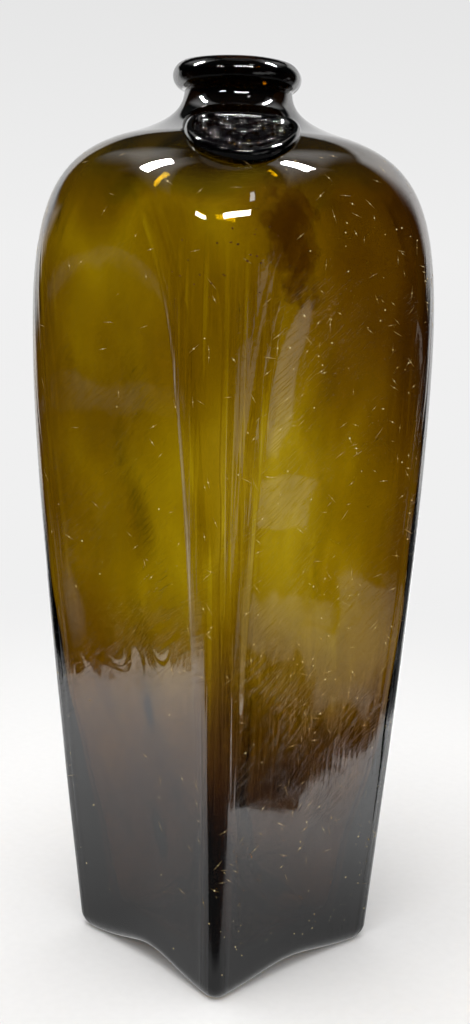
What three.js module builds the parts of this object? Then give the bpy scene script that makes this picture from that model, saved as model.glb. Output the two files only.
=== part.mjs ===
// Square gin bottle of dark blown glass, with an applied lip and an applied shoulder seal.
// Lengths are in millimetres and +Z is up. The origin is on the shelf, under the middle of the
// widest part of the body. The faces look along X and Y, and the seal is near the +X -Y corner.
import * as THREE from 'three';

// Body: a tapered rounded square that runs into a round shoulder
const BODY_HEIGHT = 247.2;
const BASE_HALF_WIDTH = 32.6;
const SHOULDER_HALF_WIDTH = 47.7;
const BASE_CORNER_RADIUS = 3.5;
const SHOULDER_CORNER_RADIUS = 17;
const WIDEST_SHARE = 0.81; // where the shoulder's width and corner radius are measured
const CORNER_GROWTH = 2.5; // the corners stay crisp low down and open out near the shoulder

// Shoulder: a blown curve that takes over from the square mould
const SHOULDER_CURVE_RADIUS = 74.8;
const SHOULDER_TOP_RADIUS = 17;
const SHOULDER_CURVE_SHARE = 0.338; // the height at which the curve starts
const CURVE_UP_POWER = 3.86;
const CURVE_ACROSS_POWER = 2.37;
const SHOULDER_BLEND = 18; // how far the square and the curve melt into each other

// Sunken panels: each face dips, and its crease closes in an arch below the shoulder
const PANEL_DIP = 1.2;
const ARCH_SPRING_SHARE = 0.75;
const ARCH_TOP_SHARE = 0.967;

// Foot: the base edges lift between four worn corners, and the middle is pushed up
const HEEL_RADIUS = 5;
const EDGE_LIFT = 3.9;
const SAGGED_EDGE_LIFT = 2.1; // the +X edge sank while the glass was hot
const LIFT_FADE_SHARE = 0.24;
const LIFT_FADE_POWER = 1.5;
const PUSH_UP = 5;
const WEAR_DEPTH = 0.5;

// Glass thickness
const SHOULDER_WALL = 3;
const BASE_WALL = 6;
const FLOOR_THICKNESS = 8;
const FLOOR_FILLET = 8;

// Neck: a short tube on a flared foot
const NECK_LENGTH = 15;
const NECK_RADIUS = 15.4;
const MOUTH_RADIUS = 9.7;
const NECK_FOOT_SHARE = 0.991;
const WAIST_SHARE = 0.61; // the narrowest place, as a share of the neck's length
const FLARE_REACH_SHARE = 0.66;
const FLARE_RISE_SHARE = 0.25;
const FLARE_TURN_SHARE = 0.4;

// Lip: a string of glass wound over the sheared neck
const LIP_RADIUS = 18.75;
const LIP_HEIGHT = 8.5;
const LIP_CAP = 4;
const LIP_EDGE_RADIUS = 3.6;
const LIP_MOUTH_ROUND = 1.2;
const LIP_FOOT_OVERLAP = 0.4;
const LIP_TAPER_POWER = 1.5;

// Seal: a round pad of glass pressed with a raised rim and a low boss
const SEAL_RADIUS = 16;
const SEAL_REACH = 37.3; // distance of its middle from the bottle's axis
const SEAL_TURN = 5.5; // degrees round from the corner towards +X
const SEAL_RIM_WIDTH = 3.8;
const SEAL_RIM_HEIGHT = 3.2;
const SEAL_FIELD_HEIGHT = 1.8;
const SEAL_BOSS_RADIUS = 7;
const SEAL_BOSS_HEIGHT = 0.9;

// Pieces that touch keep this gap
const CONTACT_GAP = 0.3;

// The body leans below its widest part, as a share of the height, and the neck stands upright
const LEAN_SHARE = 0.0117;
const LEAN_DIRECTION = 230; // degrees from +X
const LEAN_BLEND = 40;

// How finely the surfaces are divided
const SEGMENTS_PER_FACE = 12;
const LIP_SEGMENTS = 48;
const SEAL_SEGMENTS = 40;
const WALL_ROWS = 10;
const SHOULDER_ROWS = 13;
const FLARE_ROWS = 6;
const INNER_WALL_ROWS = 7;
const INNER_SHOULDER_ROWS = 9;
const INNER_FLARE_ROWS = 5;
const ROUND_ROWS = 4;
const MERIDIAN_SAMPLES = 1000;

const RIGHT_ANGLE = Math.PI / 2;
const { clamp, degToRad, euclideanModulo, lerp } = THREE.MathUtils;

const widestHeight = WIDEST_SHARE * BODY_HEIGHT;
const neckTop = BODY_HEIGHT + NECK_LENGTH;
const waistHeight = BODY_HEIGHT + WAIST_SHARE * NECK_LENGTH;
const lipTop = neckTop + CONTACT_GAP + LIP_CAP;

// Numbers from first to last in the given number of steps
function spread(first, last, steps) {
  return Array.from({ length: steps + 1 }, (_, step) => lerp(first, last, step / steps));
}

// The smaller of two lengths, rounded off where they are nearly equal
function smoothMin(first, second, blend) {
  const share = clamp(0.5 + 0.5 * (second - first) / blend, 0, 1);
  return lerp(second, first, share) - blend * share * (1 - share);
}

// Angle from the middle line of the nearest face: nothing on the line, 45 degrees at a corner
function angleFromFace(angle) {
  const half = RIGHT_ANGLE / 2;
  return Math.abs(euclideanModulo(angle + half, RIGHT_ANGLE) - half);
}

function halfWidth(height) {
  return lerp(BASE_HALF_WIDTH, SHOULDER_HALF_WIDTH, height / widestHeight);
}

function cornerRadius(height) {
  const share = Math.pow(Math.max(height, 0) / widestHeight, CORNER_GROWTH);
  return lerp(BASE_CORNER_RADIUS, SHOULDER_CORNER_RADIUS, share);
}

// Distance from the axis to a rounded square, in the direction of the angle
function squareRadius(half, corner, angle) {
  const turn = angleFromFace(angle);
  const flat = half - corner;
  if (half * Math.tan(turn) < flat) {
    return half / Math.cos(turn);
  }
  const along = flat * (Math.cos(turn) + Math.sin(turn));
  return along + Math.sqrt(corner ** 2 - 2 * flat ** 2 + along ** 2);
}

// How wide the sunken panel still is: all of it below the arch, nothing at the arch's top
function archShare(height) {
  const spring = ARCH_SPRING_SHARE * BODY_HEIGHT;
  const top = ARCH_TOP_SHARE * BODY_HEIGHT;
  const share = clamp((height - spring) / (top - spring), 0, 1);
  return Math.sqrt(1 - share ** 2);
}

function panelDip(angle, height) {
  const turn = angleFromFace(angle);
  const arch = archShare(height);
  const edge = (halfWidth(height) - cornerRadius(height)) * arch;
  const across = halfWidth(height) * Math.tan(turn);
  if (across >= edge) {
    return 0;
  }
  return PANEL_DIP * arch * (1 - (across / edge) ** 2) / Math.cos(turn);
}

// The shoulder's round curve, from its widest ring to the foot of the neck
function shoulderRadius(height) {
  const foot = SHOULDER_CURVE_SHARE * BODY_HEIGHT;
  const share = clamp((height - foot) / (BODY_HEIGHT - foot), 0, 1);
  const across = Math.pow(1 - Math.pow(share, CURVE_UP_POWER), 1 / CURVE_ACROSS_POWER);
  return lerp(SHOULDER_TOP_RADIUS, SHOULDER_CURVE_RADIUS, across);
}

// Distance from the axis to the glass; an inset of nothing gives the outside
function glassRadius(angle, height, inset) {
  const square = squareRadius(halfWidth(height) - inset, cornerRadius(height) + inset, angle);
  const curve = shoulderRadius(height + inset) - inset;
  return smoothMin(square - panelDip(angle, height), curve, SHOULDER_BLEND);
}

// A point on the leaning bottle
function axisPoint(angle, radius, height) {
  const lean = LEAN_SHARE * smoothMin(height - widestHeight, 0, LEAN_BLEND);
  const direction = degToRad(LEAN_DIRECTION);
  const x = radius * Math.cos(angle) + lean * Math.cos(direction);
  const y = radius * Math.sin(angle) + lean * Math.sin(direction);
  return new THREE.Vector3(x, y, height);
}

// How far the base's edge is lifted off the shelf
function edgeLift(angle, height) {
  const sagged = euclideanModulo(angle + RIGHT_ANGLE / 2, 2 * Math.PI) < RIGHT_ANGLE;
  const lift = sagged ? SAGGED_EDGE_LIFT : EDGE_LIFT;
  const fade = clamp(1 - height / (LIFT_FADE_SHARE * BODY_HEIGHT), 0, 1);
  return lift * Math.cos(2 * angle) ** 2 * Math.pow(fade, LIFT_FADE_POWER);
}

// A point of the outside below the neck, worn flat where it would meet the shelf
function outsidePoint(angle, height, inset) {
  const radius = glassRadius(angle, height, 0) - inset;
  return axisPoint(angle, radius, Math.max(height + edgeLift(angle, height), WEAR_DEPTH));
}

// The flare between the shoulder and the neck; travel runs from its foot to the neck's waist
function flarePoint(angle, travel, inset, throat) {
  const foot = NECK_FOOT_SHARE * BODY_HEIGHT - inset;
  const start = glassRadius(angle, foot, inset);
  const curve = new THREE.CubicBezierCurve(
    new THREE.Vector2(start, foot),
    new THREE.Vector2(
      lerp(start, throat, FLARE_REACH_SHARE),
      lerp(foot, waistHeight, FLARE_RISE_SHARE),
    ),
    new THREE.Vector2(throat, lerp(foot, waistHeight, FLARE_TURN_SHARE)),
    new THREE.Vector2(throat, waistHeight),
  );
  const point = curve.getPoint(travel);
  return axisPoint(angle, point.x, point.y);
}

// Angles round the body, close together at the corners and wide apart on the faces
function bodyAngles() {
  const angles = [];
  for (const face of [0, 1, 2, 3]) {
    for (const swing of spread(-1, 1, SEGMENTS_PER_FACE).slice(0, -1)) {
      angles.push(face * RIGHT_ANGLE + RIGHT_ANGLE / 2 * Math.sin(swing * RIGHT_ANGLE));
    }
  }
  return angles;
}

// Closed skin over rows of points. A row of one point is a pole. Rows climb the outside, and
// each row runs counterclockwise seen from above, so that the faces look outwards.
function skin(rows, joinsEnds) {
  const positions = rows.flat().flatMap((point) => point.toArray());
  const starts = [];
  let count = 0;
  for (const row of rows) {
    starts.push(count);
    count += row.length;
  }
  const triangles = [];
  const bands = joinsEnds ? rows.length : rows.length - 1;
  for (let band = 0; band < bands; band += 1) {
    const next = (band + 1) % rows.length;
    const size = Math.max(rows[band].length, rows[next].length);
    const index = (row, place) => starts[row] + (rows[row].length > 1 ? place % size : 0);
    for (let place = 0; place < size; place += 1) {
      if (rows[band].length > 1) {
        triangles.push(index(band, place), index(band, place + 1), index(next, place + 1));
      }
      if (rows[next].length > 1) {
        triangles.push(index(band, place), index(next, place + 1), index(next, place));
      }
    }
  }
  const geometry = new THREE.BufferGeometry();
  geometry.setAttribute('position', new THREE.Float32BufferAttribute(positions, 3));
  geometry.setIndex(triangles);
  geometry.computeVertexNormals();
  return geometry;
}

// Underside: pushed up in the middle, flat at the rim
function undersideRows(angles) {
  const middle = axisPoint(0, 0, 0);
  middle.z = PUSH_UP;
  const rows = [[middle]];
  for (const share of [0.3, 0.55, 0.72, 0.83, 0.92]) {
    rows.push(angles.map((angle) => {
      const rim = outsidePoint(angle, 0, HEEL_RADIUS);
      const height = PUSH_UP * (1 - share ** 2) ** 2 + edgeLift(angle, 0) * share ** 2;
      const point = middle.clone().lerp(rim, share);
      point.z = Math.max(height, WEAR_DEPTH);
      return point;
    }));
  }
  return rows;
}

function heelRows(angles) {
  return spread(0, RIGHT_ANGLE, ROUND_ROWS).map((bend) => {
    const height = HEEL_RADIUS * (1 - Math.cos(bend));
    const inset = HEEL_RADIUS * (1 - Math.sin(bend));
    return angles.map((angle) => outsidePoint(angle, height, inset));
  });
}

// Heights up a wall, evenly to the start of the arches and then closer towards the top
function wallHeights(first, last, wallRows, topRows) {
  const spring = ARCH_SPRING_SHARE * BODY_HEIGHT;
  const climb = spread(0, RIGHT_ANGLE, topRows).slice(1);
  const low = spread(first, spring, wallRows).slice(1);
  return low.concat(climb.map((bend) => lerp(spring, last, Math.sin(bend))));
}

function outsideRows(angles) {
  const foot = NECK_FOOT_SHARE * BODY_HEIGHT;
  const heights = wallHeights(HEEL_RADIUS, foot, WALL_ROWS, SHOULDER_ROWS);
  const wall = heights.map((height) => angles.map((angle) => outsidePoint(angle, height, 0)));
  const flare = spread(0, 1, FLARE_ROWS).slice(1).map((travel) => (
    angles.map((angle) => flarePoint(angle, travel, 0, NECK_RADIUS))
  ));
  const top = angles.map((angle) => axisPoint(angle, NECK_RADIUS, neckTop));
  return [...wall, ...flare, top];
}

function wallThickness(height) {
  return lerp(BASE_WALL, SHOULDER_WALL, clamp(height / widestHeight, 0, 1));
}

function insidePoint(angle, height, fillet) {
  const radius = glassRadius(angle, height, wallThickness(height)) - fillet;
  return axisPoint(angle, radius, height);
}

// The hollow, from the mouth down to the middle of its floor
function insideRows(angles) {
  const foot = NECK_FOOT_SHARE * BODY_HEIGHT - SHOULDER_WALL;
  const floor = FLOOR_THICKNESS + FLOOR_FILLET;
  const mouth = angles.map((angle) => axisPoint(angle, MOUTH_RADIUS, neckTop));
  const flare = spread(1, 0, INNER_FLARE_ROWS).slice(0, -1).map((travel) => (
    angles.map((angle) => flarePoint(angle, travel, SHOULDER_WALL, MOUTH_RADIUS))
  ));
  const heights = wallHeights(floor, foot, INNER_WALL_ROWS, INNER_SHOULDER_ROWS).reverse();
  const wall = heights.map((height) => angles.map((angle) => insidePoint(angle, height, 0)));
  const fillet = spread(RIGHT_ANGLE, 0, ROUND_ROWS).map((bend) => {
    const height = FLOOR_THICKNESS + FLOOR_FILLET * (1 - Math.cos(bend));
    const inset = FLOOR_FILLET * (1 - Math.sin(bend));
    return angles.map((angle) => insidePoint(angle, height, inset));
  });
  const middle = axisPoint(0, 0, FLOOR_THICKNESS + PUSH_UP);
  const rim = fillet[fillet.length - 1];
  const dish = [0.75, 0.4].map((share) => rim.map((edge) => {
    const point = middle.clone().lerp(edge, share);
    point.z = FLOOR_THICKNESS + PUSH_UP * (1 - share ** 2) ** 2;
    return point;
  }));
  return [mouth, ...flare, ...wall, ...fillet, ...dish, [middle]];
}

function bodyGeometry() {
  const angles = bodyAngles();
  const rows = [
    ...undersideRows(angles),
    ...heelRows(angles),
    ...outsideRows(angles),
    ...insideRows(angles),
  ];
  return skin(rows, false);
}

// The lip's section, as distances from the axis and heights, up the outside and down the inside
function lipSection() {
  const bottom = lipTop - LIP_HEIGHT;
  const widest = lipTop - LIP_EDGE_RADIUS;
  const under = NECK_RADIUS + CONTACT_GAP;
  const seat = neckTop + CONTACT_GAP;
  const taper = spread(0, 1, ROUND_ROWS).map((share) => [
    lerp(under + LIP_FOOT_OVERLAP, LIP_RADIUS, 1 - Math.pow(1 - share, LIP_TAPER_POWER)),
    lerp(bottom, widest, share),
  ]);
  const edge = spread(0, RIGHT_ANGLE, ROUND_ROWS).slice(1).map((bend) => [
    LIP_RADIUS - LIP_EDGE_RADIUS * (1 - Math.cos(bend)),
    widest + LIP_EDGE_RADIUS * Math.sin(bend),
  ]);
  const mouth = spread(0, RIGHT_ANGLE, ROUND_ROWS / 2).map((bend) => [
    MOUTH_RADIUS + LIP_MOUTH_ROUND * (1 - Math.sin(bend)),
    lipTop - LIP_MOUTH_ROUND * (1 - Math.cos(bend)),
  ]);
  return [[under, bottom], ...taper, ...edge, ...mouth, [MOUTH_RADIUS, seat], [under, seat]];
}

function lipGeometry() {
  const angles = spread(0, 2 * Math.PI, LIP_SEGMENTS).slice(0, -1);
  const rows = lipSection().map(([radius, height]) => (
    angles.map((angle) => axisPoint(angle, radius, height))
  ));
  return skin(rows, true);
}

// The shoulder along one meridian; travel runs up the body to 1 and then along the flare to 2
function shoulderPoint(angle, travel) {
  if (travel <= 1) {
    const foot = NECK_FOOT_SHARE * BODY_HEIGHT;
    return axisPoint(angle, glassRadius(angle, travel * foot, 0), travel * foot);
  }
  return flarePoint(angle, travel - 1, 0, NECK_RADIUS);
}

// Distances along the meridian through the seal, measured from the seal's middle
function sealMeridian(angle) {
  const samples = spread(ARCH_SPRING_SHARE, 2, MERIDIAN_SAMPLES).map((travel) => {
    const point = shoulderPoint(angle, travel);
    const axis = axisPoint(angle, 0, point.z);
    return { travel, point, reach: point.distanceTo(axis), distance: 0 };
  });
  for (let step = 1; step < samples.length; step += 1) {
    const last = samples[step - 1];
    samples[step].distance = last.distance + last.point.distanceTo(samples[step].point);
  }
  const middle = samples.find((sample) => sample.reach <= SEAL_REACH && sample.travel > ARCH_TOP_SHARE);
  return samples.map((sample) => ({ ...sample, distance: sample.distance - middle.distance }));
}

// A point over the shoulder: sideways and up from the seal's middle, and out from the glass
function sealPoint(meridian, angle, sideways, up, out) {
  const above = Math.max(meridian.findIndex((sample) => sample.distance > up), 1);
  const [low, high] = [meridian[above - 1], meridian[above]];
  const share = (up - low.distance) / (high.distance - low.distance);
  const travel = lerp(low.travel, high.travel, share);
  const turned = angle + sideways / lerp(low.reach, high.reach, share);
  const point = shoulderPoint(turned, travel);
  const step = 1 / MERIDIAN_SAMPLES;
  const across = shoulderPoint(turned + step, travel).sub(shoulderPoint(turned - step, travel));
  const along = shoulderPoint(turned, travel + step).sub(shoulderPoint(turned, travel - step));
  return point.addScaledVector(across.cross(along).normalize(), out);
}

// The seal's section, as distances from its middle and heights over the glass, from the middle
// of the underside round the rim and back to the middle of the top
function sealSection() {
  const rimMiddle = SEAL_RADIUS - SEAL_RIM_WIDTH / 2;
  const fieldEdge = SEAL_RADIUS - SEAL_RIM_WIDTH;
  const under = spread(0, 1, ROUND_ROWS).slice(0, -1).map((share) => [
    share * SEAL_RADIUS,
    CONTACT_GAP,
  ]);
  const rim = spread(0, RIGHT_ANGLE * 1.5, ROUND_ROWS + 2).map((bend) => [
    rimMiddle + SEAL_RIM_WIDTH / 2 * Math.cos(bend),
    CONTACT_GAP + (SEAL_RIM_HEIGHT - CONTACT_GAP) * Math.sin(bend),
  ]);
  const boss = spread(0, RIGHT_ANGLE, ROUND_ROWS).map((bend) => [
    SEAL_BOSS_RADIUS * Math.cos(bend),
    SEAL_FIELD_HEIGHT + SEAL_BOSS_HEIGHT * Math.sin(bend),
  ]);
  return [...under, ...rim, [fieldEdge, SEAL_FIELD_HEIGHT], ...boss];
}

function sealGeometry() {
  const angle = degToRad(SEAL_TURN) - RIGHT_ANGLE / 2;
  const meridian = sealMeridian(angle);
  const turns = spread(0, 2 * Math.PI, SEAL_SEGMENTS).slice(0, -1);
  const section = sealSection();
  const rows = section.map(([distance, out], place) => {
    if (place === 0 || place === section.length - 1) {
      return [sealPoint(meridian, angle, 0, 0, out)];
    }
    return turns.map((turn) => (
      sealPoint(meridian, angle, distance * Math.cos(turn), distance * Math.sin(turn), out)
    ));
  });
  return skin(rows, false);
}

function glassPiece(name, geometry, color, roughness) {
  const material = new THREE.MeshStandardMaterial({ color, roughness, metalness: 0 });
  const mesh = new THREE.Mesh(geometry, material);
  mesh.name = name;
  return mesh;
}

// The worn feet, not the sharp ones, stand on the shelf
const bottle = new THREE.Group();
bottle.position.z = -WEAR_DEPTH;
bottle.add(glassPiece('bottle_body', bodyGeometry(), 0x5c4a08, 0.08));
bottle.add(glassPiece('applied_lip', lipGeometry(), 0x1e1c10, 0.12));
bottle.add(glassPiece('applied_seal', sealGeometry(), 0x1e1c10, 0.14));

export default bottle;
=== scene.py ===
# %% [markdown]
# # A square gin bottle in dark blown glass
# The bottle was blown into a square dip mould, so it tapers to the foot and its faces are
# slightly sunken. A string of hot glass was laid round the sheared neck for a lip, and a pad
# of glass was pressed on the shoulder for a seal. Everything here is built round the packed
# CAD frame, whose size and place are fixed, so finer glass takes the place of its solids.

# %% The frame
import math
from functools import partial

import bpy
import numpy as np
from mathutils import Matrix, Vector


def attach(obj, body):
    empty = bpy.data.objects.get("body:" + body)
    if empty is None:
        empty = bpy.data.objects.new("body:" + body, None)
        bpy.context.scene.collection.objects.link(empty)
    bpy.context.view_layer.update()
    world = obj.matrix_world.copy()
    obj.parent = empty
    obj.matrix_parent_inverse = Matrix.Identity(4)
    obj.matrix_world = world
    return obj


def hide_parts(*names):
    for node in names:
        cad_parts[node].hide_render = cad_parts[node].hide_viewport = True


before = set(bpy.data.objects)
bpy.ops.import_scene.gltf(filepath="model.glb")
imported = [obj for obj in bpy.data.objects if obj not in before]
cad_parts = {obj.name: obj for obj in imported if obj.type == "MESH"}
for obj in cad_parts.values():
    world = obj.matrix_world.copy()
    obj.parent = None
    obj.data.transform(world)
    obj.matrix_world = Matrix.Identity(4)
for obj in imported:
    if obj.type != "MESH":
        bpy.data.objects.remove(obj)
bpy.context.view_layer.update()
print("CAD nodes:", sorted(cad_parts))

# %% [markdown]
# ## Sizes
# These are the CAD part's own sizes, in millimetres made metres by one factor. The body's
# shape is a rule and not a list of points, so it can be drawn again as finely as clear glass
# needs: a highlight or a bent view through the wall shows every flat spot.

# %% Sizes of the blown shape
MM = 0.001
BODY_HEIGHT = 247.2 * MM
BASE_HALF_WIDTH = 32.6 * MM
SHOULDER_HALF_WIDTH = 47.7 * MM
BASE_CORNER_RADIUS = 3.5 * MM
SHOULDER_CORNER_RADIUS = 17 * MM
WIDEST_HEIGHT = 0.81 * BODY_HEIGHT
CORNER_GROWTH = 2.5
SHOULDER_CURVE_RADIUS = 74.8 * MM
SHOULDER_TOP_RADIUS = 17 * MM
SHOULDER_CURVE_FOOT = 0.338 * BODY_HEIGHT
CURVE_UP_POWER = 3.86
CURVE_ACROSS_POWER = 2.37
SHOULDER_BLEND = 18 * MM
PANEL_DIP = 1.2 * MM
CREASE_SOFTNESS = 0.4
HOLLOW_SOFTNESS = 1.6
ARCH_SPRING = 0.75 * BODY_HEIGHT
ARCH_TOP = 0.967 * BODY_HEIGHT
HEEL_RADIUS = 5 * MM
EDGE_LIFT = 3.9 * MM
SAGGED_EDGE_LIFT = 2.1 * MM
LIFT_FADE_HEIGHT = 0.24 * BODY_HEIGHT
LIFT_FADE_POWER = 1.5
PUSH_UP = 5 * MM
WEAR_DEPTH = 0.5 * MM
FLOOR_THICKNESS = 8 * MM
FLOOR_FILLET = 8 * MM
NECK_TOP = BODY_HEIGHT + 15 * MM
NECK_RADIUS = 15.4 * MM
MOUTH_RADIUS = 9.7 * MM
NECK_FOOT = 0.991 * BODY_HEIGHT
WAIST_HEIGHT = BODY_HEIGHT + 0.75 * (NECK_TOP - BODY_HEIGHT)
FLARE_REACH, FLARE_RISE, FLARE_TURN = 0.66, 0.25, 0.5
LEAN = 0.0117
LEAN_DIRECTION = math.radians(230)
LEAN_BLEND = 40 * MM

# %% [markdown]
# ## The section at a height
# Every level section of the body lies between a square with rounded corners and a circle. A
# subdivided box would follow this only roughly, so each ring of points is worked out from the
# smooth minimum of the square and the shoulder's dome.


# %% The section's rule
def smooth_min(first, second, blend):
    share = np.clip(0.5 + 0.5 * (second - first) / blend, 0, 1)
    return second + (first - second) * share - blend * share * (1 - share)


def angle_from_face(angle):
    return np.abs((angle + np.pi / 4) % (np.pi / 2) - np.pi / 4)


def half_width(height):
    share = height / WIDEST_HEIGHT
    return BASE_HALF_WIDTH + (SHOULDER_HALF_WIDTH - BASE_HALF_WIDTH) * share


def corner_radius(height):
    share = (np.maximum(height, 0) / WIDEST_HEIGHT) ** CORNER_GROWTH
    return BASE_CORNER_RADIUS + (SHOULDER_CORNER_RADIUS - BASE_CORNER_RADIUS) * share


def square_radius(half, corner, angle):
    """Distance from the axis to a rounded square, in the direction of the angle."""
    turn = angle_from_face(angle)
    flat = half - corner
    along = flat * (np.cos(turn) + np.sin(turn))
    bend = along + np.sqrt(np.maximum(corner**2 - 2 * flat**2 + along**2, 0))
    return np.where(half * np.tan(turn) < flat, half / np.cos(turn), bend)


def arch_share(height):
    rise = np.clip((height - ARCH_SPRING) / (ARCH_TOP - ARCH_SPRING), 0, 1)
    return np.sqrt(1 - rise**2)


def panel_edge(height):
    """Half the sunken face's width. Its crease closes in an arch under the shoulder."""
    return np.maximum((half_width(height) - corner_radius(height)) * arch_share(height), 0.01 * MM)


def panel_dip(angle, height, softness):
    """The dip of the sunken face, which rolls softly into the crease round it."""
    turn = angle_from_face(angle)
    across = half_width(height) * np.tan(turn) / panel_edge(height)
    dip = -smooth_min(np.clip(across, 0, 3) ** 2 - 1, 0 * across, softness)
    return PANEL_DIP * arch_share(height) * dip / np.cos(turn)


def shoulder_radius(height):
    share = np.clip((height - SHOULDER_CURVE_FOOT) / (BODY_HEIGHT - SHOULDER_CURVE_FOOT), 0, 1)
    across = (1 - share**CURVE_UP_POWER) ** (1 / CURVE_ACROSS_POWER)
    return SHOULDER_TOP_RADIUS + (SHOULDER_CURVE_RADIUS - SHOULDER_TOP_RADIUS) * across


def glass_radius(angle, height, inset, corner, softness=CREASE_SOFTNESS):
    """Distance from the axis to the glass, set in from the outside, with its corner radius."""
    square = square_radius(half_width(height) - inset, corner, angle)
    curve = shoulder_radius(height + inset) - inset
    return smooth_min(square - panel_dip(angle, height, softness), curve, SHOULDER_BLEND)


def mould_radius(angle, height):
    return glass_radius(angle, height, 0, corner_radius(height))


# %% Points on the leaning, worn bottle
def axis_points(angle, radius, height):
    """Points in the frame. The bottle leans a little and stands on its worn feet."""
    lean = LEAN * smooth_min(height - WIDEST_HEIGHT, 0 * height, LEAN_BLEND)
    x = radius * np.cos(angle) + lean * math.cos(LEAN_DIRECTION)
    y = radius * np.sin(angle) + lean * math.sin(LEAN_DIRECTION)
    return np.stack([x, y, height - WEAR_DEPTH], axis=-1)


def edge_lift(angle, height):
    sagged = (angle + np.pi / 4) % (2 * np.pi) < np.pi / 2
    fade = np.clip(1 - height / LIFT_FADE_HEIGHT, 0, 1) ** LIFT_FADE_POWER
    return np.where(sagged, SAGGED_EDGE_LIFT, EDGE_LIFT) * np.cos(2 * angle) ** 2 * fade


def flare_points(angle, travel, foot_radius, foot, throat):
    """The flare from the shoulder to the neck, as a cubic curve at every angle."""
    rise = WAIST_HEIGHT - foot
    radii = [foot_radius, foot_radius + (throat - foot_radius) * FLARE_REACH, throat, throat]
    heights = [foot, foot + rise * FLARE_RISE, foot + rise * FLARE_TURN, WAIST_HEIGHT]
    back = 1 - travel
    shares = [back**3, 3 * travel * back**2, 3 * travel**2 * back, travel**3]
    radius = sum(share * value for share, value in zip(shares, radii))
    height = sum(share * value for share, value in zip(shares, heights))
    return axis_points(angle, radius, height + 0 * angle)


# %% [markdown]
# ## The blown body
# One shell of glass with its outside and its hollow. The hollow is drawn too, because in clear
# glass the inner face bends the light as much as the outer one. A breath of hot air doesn't
# spread glass evenly: the wall is thin half way up and thick at the foot, and both faces of it
# swell and sink by fractions of a millimetre. These slow waves are what makes old glass look
# alive, so they are in the mesh. The finest marks are left to the material.

# %% Waves in the glass
OUTER_WAVE = 0.1 * MM
WALL_WAVE = 0.9  # in mm, like all thicknesses of the wall
PLAIN_WALL, THINNEST_WALL = 2.95, 1.2
FOOT_THICKER, FOOT_THICKER_MOST, THICK_FOOT_HEIGHT = 10.5, 6, 116
BELT = [100, 125, 150, 165, 190, 205, 225], [-0.1, 0, 0.1, 0.45, 0.45, 0.1, 0]
THIN_CORNER = [80, 100, 120, 165, 190, 212, 226], [0, -0.7, -1.3, -1.35, -0.9, -1.0, -1.1]
WALL_LOBES = (  # middle and width in radians, heights in mm, how much thicker there in mm
    (0, np.pi / 2, [60, 78, 98, 118, 135, 155, 168, 182, 205],
     [-2.4, -3.3, -2.2, -0.9, -0.8, -0.7, -0.1, 1.1, 2.0]),
    (-5 * np.pi / 8, 0.8, [90, 120, 150, 172, 190, 215, 230], [0, 0.3, 0.7, 0.5, -0.2, -0.5, 0]),
    (np.pi / 4, 0.6, [70, 130, 180, 210, 225], [0, 1.3, 1.5, 1.0, 0]),
    (-np.pi / 4, 0.9, *THIN_CORNER),
    (3 * np.pi / 4, 0.9, *THIN_CORNER),
    (0.4 - np.pi / 4, 0.45, [80, 100, 130, 160, 188, 205], [0, -1.0, -1.2, -1.4, -1.2, 0]),
)


def waves(angle, height, seed):
    """A slow, uneven swell between -1 and 1, the same on every run."""
    chance = np.random.default_rng(seed)
    total = 0
    for _ in range(9):
        turns = chance.integers(1, 12)
        rise = chance.uniform(-1, 1) / (30 * MM)
        start = chance.uniform(0, 2 * np.pi)
        total = total + np.sin(turns * angle + rise * height * 2 * np.pi + start)
    return total / 9


def swell(angle, height):
    """How far the outside lies inside the mould's shape. It is never outside it."""
    calm = np.clip(height / (20 * MM), 0, 1) * np.clip((NECK_FOOT - height) / (30 * MM), 0, 1)
    return OUTER_WAVE * (1 + waves(angle, height, 3)) * calm


def lobes(table, angle, level):
    """Each row's amount at a height, where the angle is at its middle, and less to its sides."""
    found = []
    for middle, width, levels, amounts in table:
        away = (angle - middle + np.pi) % (2 * np.pi) - np.pi
        share = np.clip(1 - (away / width) ** 2, 0, 1) ** 2
        found.append(share * np.interp(level, levels, amounts))
    return found


def wall_thickness(angle, height):
    """Thick at the foot and at one corner, thin half way up on the +X side."""
    level = height / MM
    foot = FOOT_THICKER * np.clip(1 - level / THICK_FOOT_HEIGHT, 0, 1) ** 1.4
    calm = np.clip(level / 40, 0, 1) * np.clip((NECK_FOOT / MM - level) / 18, 0, 1)
    uneven = sum(lobes(WALL_LOBES, angle, level)) + WALL_WAVE * waves(angle, height, 11)
    wall = PLAIN_WALL + np.minimum(foot, FOOT_THICKER_MOST) + np.interp(level, *BELT)
    return np.maximum(wall + uneven * calm, THINNEST_WALL) * MM


# %% Rings of the outside and of the hollow
SEGMENTS_PER_FACE = 64
CROWDING = 0.8  # how far a ring's points crowd towards the corners
swing = np.linspace(-np.pi / 2, np.pi / 2, SEGMENTS_PER_FACE, endpoint=False)
quarter = np.pi / 4 * (CROWDING * np.sin(swing) + (1 - CROWDING) * swing / (np.pi / 2))
body_angles = np.concatenate([quarter + face * np.pi / 2 for face in range(-2, 2)])
axis_foot = axis_points(np.zeros(1), np.zeros(1), np.zeros(1))[0]


def ring(value):
    return np.full_like(body_angles, value)


def outside_points(height, inset):
    level = ring(height)
    radius = mould_radius(body_angles, level) - inset - swell(body_angles, level)
    points = axis_points(body_angles, radius, level)
    points[:, 2] = np.maximum(points[:, 2] + edge_lift(body_angles, level), 0)
    return points


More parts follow.
